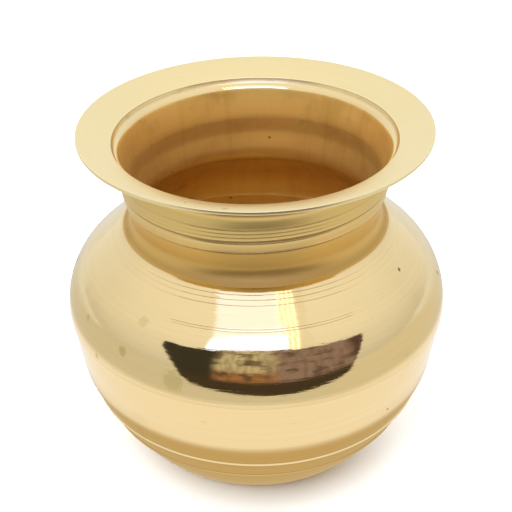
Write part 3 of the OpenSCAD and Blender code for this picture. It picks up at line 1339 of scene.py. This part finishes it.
@dataclass
class RimFlare(TurnedPiece):
    """The wide flared lip."""

    def section(self) -> Floats:
        """In along the upper face, down the inner edge, and out along the lower face to the lip."""
        s = self.shape
        upper = (s.rim_angle(0, s.rim_r), s.rim_angle(0, s.rim_inner_r))
        lower = (s.rim_angle(s.wall, s.rim_inner_r), s.rim_angle(s.wall, s.rim_r))
        return chain(
            arc(s.rim_c, s.rim_curve, *upper, 0.5),
            arc(s.rim_c, s.rim_curve - s.wall, *lower),
        )

    def faces_inwards(self, mid: Floats, normal: Floats) -> NDArray[np.bool_]:
        """The lower face, which takes the second finish, whose darker tone is painted shade."""
        return normal[:, 1] < -0.5


class Joint(Enum):
    """The three brazed joints."""

    BELLY = "belly_braze"
    NECK = "neck_braze"
    RIM = "rim_braze"


@dataclass
class BrazeRing(TurnedPiece):
    """A ring of brazing alloy in one of the joints."""

    joint: Joint = Joint.BELLY
    neck_size: tuple[float, float] = (0.35, 0.6)
    rim_rise: float = 0.8

    def section(self) -> Floats:
        """A small three-sided fillet, with a hollow face where it is a corner that was filled."""
        s = self.shape
        if self.joint is Joint.BELLY:
            top = polar(s.edge_c, s.edge_curve, s.seam_top_angle)
            return np.array([s.seam_root, s.band_at(s.seam_groove, 0), top])
        if self.joint is Joint.NECK:
            lean = math.radians(s.neck_slope)
            low = s.neck_top - self.neck_size[1] * np.array([math.sin(lean), math.cos(lean)])
            return self.hollowed(s.neck_top, low, s.neck_top + [self.neck_size[0], 0])
        corner, inner = (
            polar(s.rim_c, s.rim_curve - s.wall, s.rim_angle(s.wall, radius))
            for radius in (s.rim_inner_r, s.rim_inner_r - s.roll_flat)
        )
        return self.hollowed(corner, corner + [0, self.rim_rise], inner)

    def hollowed(self, corner: Floats, start: Floats, end: Floats) -> Floats:
        """A filled corner whose face curves in: (1-t)^2 start + 2t(1-t) pull + t^2 end.

        Args:
            corner: The corner that is filled.
            start: Where the face begins.
            end: Where the face ends.

        Returns:
            The three-sided outline, with its face as a curve.
        """
        t = np.linspace(0, 1, 9)[:, None]
        pull = (start + end) / 2 + 0.3 * (corner - (start + end) / 2)
        return chain(corner, (1 - t) ** 2 * start + 2 * t * (1 - t) * pull + t**2 * end)


# ---------------------------------------------------------------------------------------------
# The table and the light


def stage_mesh(name: str, points: Floats, faces: Sequence[tuple[int, ...]]) -> bpy.types.Object:
    """Makes a mesh object and links it to the scene.

    Args:
        name: The object's name.
        points: Places in metres.
        faces: Numbers of each face's corners.

    Returns:
        The object.
    """
    mesh = bpy.data.meshes.new(name)
    mesh.from_pydata([tuple(map(float, p)) for p in points], [], faces)
    thing = bpy.data.objects.new(name, mesh)
    bpy.context.scene.collection.objects.link(thing)
    return thing


def grid_faces(rows: int, columns: int, ring: bool) -> list[tuple[int, ...]]:
    """Quads between rows of points; in a ring the last column also joins the first.

    Args:
        rows: Number of rows.
        columns: Points in each row.
        ring: Whether the rows close.

    Returns:
        The four corners of each quad.
    """
    pairs = [(c, (c + 1) % columns) for c in range(columns if ring else columns - 1)]
    starts = [(r * columns, (r + 1) * columns) for r in range(rows - 1)]
    return [(low + c, low + d, high + d, high + c) for low, high in starts for c, d in pairs]


@dataclass(frozen=True)
class PolishCard:
    """A glowing card that only mirror-like reflections see. Each kind has its own shape and colours."""

    name: str

    def surface(self) -> tuple[Floats, list[tuple[int, ...]]]:
        """The card's points in metres and its faces."""
        raise NotImplementedError

    def glow(self, b: Bench, x: Shade, y: Shade, z: Shade) -> Shade:
        """The card's light at a place in metres."""
        raise NotImplementedError

    def set_up(self) -> None:
        """Builds the card, lights it, and hides it from everything but the polish."""
        card = stage_mesh(self.name, *self.surface())
        b = Bench(bpy.data.materials.new(self.name + "_light"))
        glow = self.glow(b, *b.parts(b.place()))
        card.data.materials.append(b.finish(b.raw("Emission", {}, {"Color": glow, "Strength": 1.0})))
        for use in ("camera", "diffuse", "shadow", "transmission", "volume_scatter"):
            setattr(card, "visible_" + use, False)


@dataclass(frozen=True)
class WindowCard(PolishCard):
    """A window overhead, with a strip of folded curtain along its right side.

    It lies level at a height above the pot, and its places are given as parts of that height.
    """

    up: float = 0.9
    rows: tuple[float, ...] = (-0.25, -0.52, -0.68, -1.00, -1.16)
    left: tuple[float, ...] = (-0.37, -0.38, -0.46, -0.66, -0.72)
    right: tuple[float, ...] = (0.40, 0.46, 0.58, 0.80, 0.92)
    pane: Colour = (1.25, 1.35, 1.8)
    low_pane: Colour = (1.5, 1.8, 3.2)
    fold: Colour = (0.78, 0.72, 0.58)
    cloth: Colour = (2.6, 2.4, 2.2)
    wall: Colour = (0.92, 0.90, 0.86)
    folds: float = 21.0

    def surface(self) -> tuple[Floats, list[tuple[int, ...]]]:
        """One face: down the left side and back along the right one."""
        x = np.array(self.left + self.right[::-1]) * self.up
        y = np.array(self.rows + self.rows[::-1]) * self.up
        return np.column_stack([x, y, np.full(len(x), self.up)]), [tuple(range(len(x)))]

    def glow(self, b: Bench, x: Shade, y: Shade, z: Shade) -> Shade:
        """Panes, brighter low down, then waves of cloth, then the wall beside the window.

        Args:
            b: The bench.
            x: Place across, in metres.
            y: Place away from the camera, in metres.
            z: Height, in metres; not used.

        Returns:
            The card's colour and brightness.
        """
        x, y = x / self.up, y / self.up
        across = (x - (0.075 - y * 0.20)) / (0.10 - y * 0.14)
        wander = (y * 23).wave() * 0.05 + (y * 51).wave() * 0.03
        folds = ((across + wander) * self.folds).wave() * 0.5 + 0.5
        cloth = b.mix(folds.step(0.30, 0.62), self.fold, self.cloth)
        level = b.mix(across.step(0.0, 0.04), self.pane, cloth)
        low = y.step(-0.60, -0.66) * (1 - across.step(0.3, 0.5))
        level = b.mix(low, level, self.low_pane)
        return b.mix(across.step(1.0, 1.05), level, self.wall)


@dataclass(frozen=True)
class TableCard(PolishCard):
    """What the polish sees of the table: shaded under the pot, bright round it, duller far off."""

    lift: float = 0.0002
    radii: tuple[float, ...] = (0.034, 0.3, 3.0)
    shaded: Colour = (0.60, 0.47, 0.26)
    bright: Colour = (1.0, 0.98, 0.97)
    left: Colour = (0.70, 0.69, 0.64)
    right: Colour = (0.76, 0.73, 0.64)
    behind: Colour = (0.84, 0.88, 0.92)

    def surface(self) -> tuple[Floats, list[tuple[int, ...]]]:
        """Two level rings just above the floor, with a hole where the pot stands."""
        turn, radii = np.radians(np.arange(0, 360, 5)), np.array(self.radii)[:, None]
        level = np.full((len(radii), len(turn)), CAD_BOX[0][2] + self.lift)
        points = np.stack([radii * np.cos(turn), radii * np.sin(turn), level], axis=-1)
        return points.reshape(-1, 3), grid_faces(len(radii), len(turn), ring=True)

    def glow(self, b: Bench, x: Shade, y: Shade, z: Shade) -> Shade:
        """Brightness by distance from the pot, and by side where it is far off.

        Args:
            b: The bench.
            x: Place across, in metres.
            y: Place away from the camera, in metres.
            z: Height, in metres; not used.

        Returns:
            The card's colour and brightness.
        """
        r = (x * x + y * y).root()
        far = b.mix(x.step(-0.02, 0.20), self.left, self.right)
        far = b.mix(y.step(0.05, 0.30), far, self.behind)
        level = b.mix(r.step(0.052, 0.070), self.shaded, self.bright)
        return b.mix(r.step(0.098, 0.126), level, far)


@dataclass(frozen=True)
class DarkRoomCard(PolishCard):
    """The darker side of the room behind the camera, and the dark stretch of table before it.

    A grid of rows from the near edge of the dark stretch, out over the table, and up a curved
    wall. Each row of the wall runs between two angles that are measured from straight ahead.
    """

    back: float = 0.60
    columns: int = 33
    lifts: tuple[float, ...] = (0.0, 0.05, 0.12, 0.20, 0.30, 0.40, 1.0)
    side_lifts: tuple[float, ...] = (0.0, 0.12, 0.30, 1.0)
    left: tuple[float, ...] = (-41, -46, -57, -60)
    right: tuple[float, ...] = (51, 56, 64, 66)
    crest_turns: tuple[float, ...] = (-60, -48, -36, -17, 0, 18, 34, 50, 66)
    crest_slopes: tuple[float, ...] = (31, 31, 34.5, 40, 40.5, 38, 35.5, 31.5, 27)
    mirror_up: float = 0.058
    mirror_out: float = 0.045
    near_ends: tuple[float, float] = (-0.140, 0.176)
    near_back: float = 0.166
    near_bow: float = 0.030
    near_middle: float = 0.05
    near_half: float = 0.15
    lift: float = 0.0005
    black: Colour = (0.045, 0.042, 0.034)
    shade: Colour = (0.20, 0.18, 0.13)
    olive: Colour = (0.64, 0.60, 0.47)
    brown: Colour = (0.36, 0.19, 0.10)
    mauve: Colour = (0.31, 0.23, 0.24)
    blotch: Colour = (0.09, 0.06, 0.05)
    veil: Colour = (0.14, 0.10, 0.08)
    ground: Colour = (0.060, 0.045, 0.030)
    far_right: Colour = (0.10, 0.06, 0.055)

    def surface(self) -> tuple[Floats, list[tuple[int, ...]]]:
        """The near edge is bowed as a square; the wall's top follows slopes seen from the belly."""
        part, lift = np.linspace(0, 1, self.columns), np.array(self.lifts)
        left, right = (np.interp(lift, self.side_lifts, side)[:, None] for side in (self.left, self.right))
        turn = np.radians(left + part * (right - left))
        slope = np.interp(np.degrees(turn[-1]), self.crest_turns, self.crest_slopes)
        top = self.mirror_up + (self.back - self.mirror_out) * np.tan(np.radians(slope))
        up = np.minimum(lift[:, None], top)
        up[0] = self.lift + 0.0001
        wall = np.stack([np.sin(turn) * self.back, -np.cos(turn) * self.back, up], axis=-1)
        x = np.linspace(*self.near_ends, self.columns)
        bow = self.near_bow * ((x - self.near_middle) / self.near_half) ** 2
        near = np.stack([x, -self.near_back - bow, np.full(self.columns, self.lift)], axis=-1)
        points = np.concatenate([near[None], wall])
        return points.reshape(-1, 3), grid_faces(len(points), self.columns, ring=False)

    def glow(self, b: Bench, x: Shade, y: Shade, z: Shade) -> Shade:
        """Black on the left, olive and brown in the middle, mauve on the right, with blotches.

        Args:
            b: The bench.
            x: Place across, in metres.
            y: Place away from the camera, in metres; not used.
            z: Height, in metres.

        Returns:
            The card's colour and brightness.
        """
        blot = b.noise(b.vector(x * 6, z * 8, 0.3), 1.0, 3.0, 0.6)
        patch = b.noise(b.vector(x * 11, z * 15, 4.3), 1.0, 2.0)
        veil = b.noise(b.vector(x * 40, z * 5, 8.1), 1.0, 2.0)
        colour = b.mix(blot.step(0.36, 0.50), self.shade, self.olive)
        colour = b.mix(z.step(0.20, 0.12), colour, self.brown)
        colour = b.mix(x.step(0.06, 0.16), colour, self.mauve)
        colour = b.mix(patch.step(0.53, 0.64) * 0.8, colour, self.blotch)
        colour = b.mix(veil.step(0.48, 0.62) * 0.45, colour, self.veil)
        colour = b.mix(x.step(-0.20, -0.27), colour, self.black)
        colour = b.mix(z.step(0.05, 0.01), colour, self.ground)
        return b.mix(x.step(0.46, 0.51), colour, self.far_right)


@dataclass(frozen=True)
class Studio:
    """A pale floor, soft light, cards that only the polish sees, and the camera.

    Sizes are in metres, and the camera's place is in lip radii.
    """

    shape: PotShape
    floor_half: float = 3.0
    camera_back: float = 6.0
    camera_up: float = 2.822
    camera_pitch: float = 31.56
    camera_roll: float = -0.49
    camera_lens: float = 83.2
    sensor: float = 36.0
    horizon: tuple[tuple[float, float], ...] = ((0.0, 0.68), (0.28, 0.82), (0.62, 0.93), (1.0, 1.0))
    behind: Colour = (0.93, 0.96, 1.0)

    def floor(self) -> None:
        """The pale floor."""
        h, z = self.floor_half, CAD_BOX[0][2]
        corners = np.array([[-h, -h, z], [h, -h, z], [h, h, z], [-h, h, z]])
        plane = stage_mesh("floor", corners, [(0, 1, 2, 3)])
        b = Bench(bpy.data.materials.new("pale_floor"))
        tone = b.mix(b.noise(b.place(), 40.0, 4.0) * 0.5, (0.90, 0.90, 0.89), (0.87, 0.87, 0.86))
        inputs = {"Base Color": tone, "Roughness": 0.9, "Specular IOR Level": 0.0}
        plane.data.materials.append(b.finish(b.raw("BsdfPrincipled", {}, inputs)))

    def sky(self) -> None:
        """Even white surroundings, darker towards the horizon in front and bright behind the pot."""
        world = bpy.data.worlds.new("soft_room")
        bpy.context.scene.world = world
        b = Bench(world)
        _, y, z = b.parts(b.node("TexCoord", {}, {}, output="Generated"))
        grey = b.node("ValToRGB", {"stops": self.horizon}, {0: z})
        behind = b.node("MapRange", {}, {"Value": y, "From Min": 0.35, "From Max": 0.85})
        tone = b.mix(behind, grey, self.behind)
        back = b.raw("Background", {}, {"Color": tone, "Strength": 1.0})
        b.raw("OutputWorld", {}, {"Surface": back.outputs[0]})

    def lamp(self, name: str, place: Sequence[float], size: float, power: float) -> None:
        """Adds a large soft lamp turned towards the pot, which polish doesn't show.

        Args:
            name: The lamp's name.
            place: Its place in metres.
            size: Its width in metres.
            power: Its power in watts.
        """
        data = bpy.data.lights.new(name, "AREA")
        data.shape, data.size, data.energy = "DISK", size, power
        thing = bpy.data.objects.new(name, data)
        bpy.context.scene.collection.objects.link(thing)
        thing.location = place
        aim = Vector((0, 0, 0.04)) - Vector(place)
        thing.rotation_mode = "QUATERNION"
        thing.rotation_quaternion = aim.to_track_quat("-Z", "Y")
        thing.visible_glossy = False

    def camera(self) -> None:
        """Places the camera, in lip radii from the middle of the lip, above it and in front."""
        unit = self.shape.rim_r * MM
        data = bpy.data.cameras.new("camera")
        data.lens, data.sensor_width, data.clip_start = self.camera_lens, self.sensor, 0.01
        thing = bpy.data.objects.new("camera", data)
        bpy.context.scene.collection.objects.link(thing)
        pitch, roll = math.radians(self.camera_pitch), math.radians(self.camera_roll)
        ahead = Vector((0, math.cos(pitch), -math.sin(pitch)))
        across, up = Vector((1, 0, 0)), Vector((0, math.sin(pitch), math.cos(pitch)))
        right = math.cos(roll) * across + math.sin(roll) * up
        upright = math.cos(roll) * up - math.sin(roll) * across
        spot = Vector((0, -self.camera_back * unit, self.shape.height * MM + self.camera_up * unit))
        turned = Matrix((right, upright, -ahead)).transposed().to_4x4()
        thing.matrix_world = Matrix.Translation(spot) @ turned
        bpy.context.scene.camera = thing

    def set_up(self) -> None:
        """Builds the whole stage."""
        self.floor()
        self.sky()
        for card in (WindowCard("window_card"), TableCard("table_card"), DarkRoomCard("dark_card")):
            card.set_up()
        self.lamp("key_lamp", (-0.6, -0.5, 1.2), 1.5, 24.0)
        self.lamp("fill_lamp", (0.9, 0.5, 1.1), 1.6, 18.0)
        self.camera()
        bpy.context.scene.view_settings.view_transform = "Standard"


def pot_pieces(shape: PotShape, hand: HandWork) -> list[TurnedPiece]:
    """The four shells and the three joints, with their nodes, slots and finishes.

    Args:
        shape: The pot's sizes.
        hand: The maker's small moves.

    Returns:
        The pieces, not yet built.
    """
    pot, dull, collar = (shape, hand), Finish.DULL_INSIDE, Finish.TURNED_COLLAR
    shells = [
        BaseBowl(*pot, "base_bowl", "bowl_brass", Finish.POLISHED, dull, pitch=1.5, closed=False),
        ShoulderShell(
            *pot, "shoulder_shell", "shoulder_brass", Finish.MARKED, dull, edge=0.2, more=(Finish.SATIN_NECK_PAINTED_REFLECTION,)
        ),
        NeckCollar(
            *pot, "neck_collar", "collar_brass", collar, dull, edge=0.22, more=(Finish.POLISHED,)
        ),
        RimFlare(*pot, "rim_flare", "rim_brass", Finish.SATIN_RIM, Finish.SHADED_RIM_UNDERSIDE, edge=0.35),
    ]
    fillers = {
        Joint.BELLY: ("belly_filler", Finish.FLUSH_FILLER),
        Joint.NECK: ("neck_filler", Finish.FILLER),
        Joint.RIM: ("rim_filler", Finish.FILLER),
    }
    joints = [
        BrazeRing(*pot, joint.value, slot, finish, finish, edge=0.03, joint=joint)
        for joint, (slot, finish) in fillers.items()
    ]
    return [*shells, *joints]


def main() -> None:
    """Builds the pot's pieces and the stage in order."""
    logging.basicConfig(level=logging.INFO, format="%(name)s: %(message)s")
    shape = PotShape.from_frame()
    materials = {finish: finish.value.material() for finish in Finish}
    for piece in pot_pieces(shape, HandWork()):
        piece.build()
        piece.dress(materials)
        piece.report()
    Studio(shape).set_up()


if __name__ == "__main__":
    main()
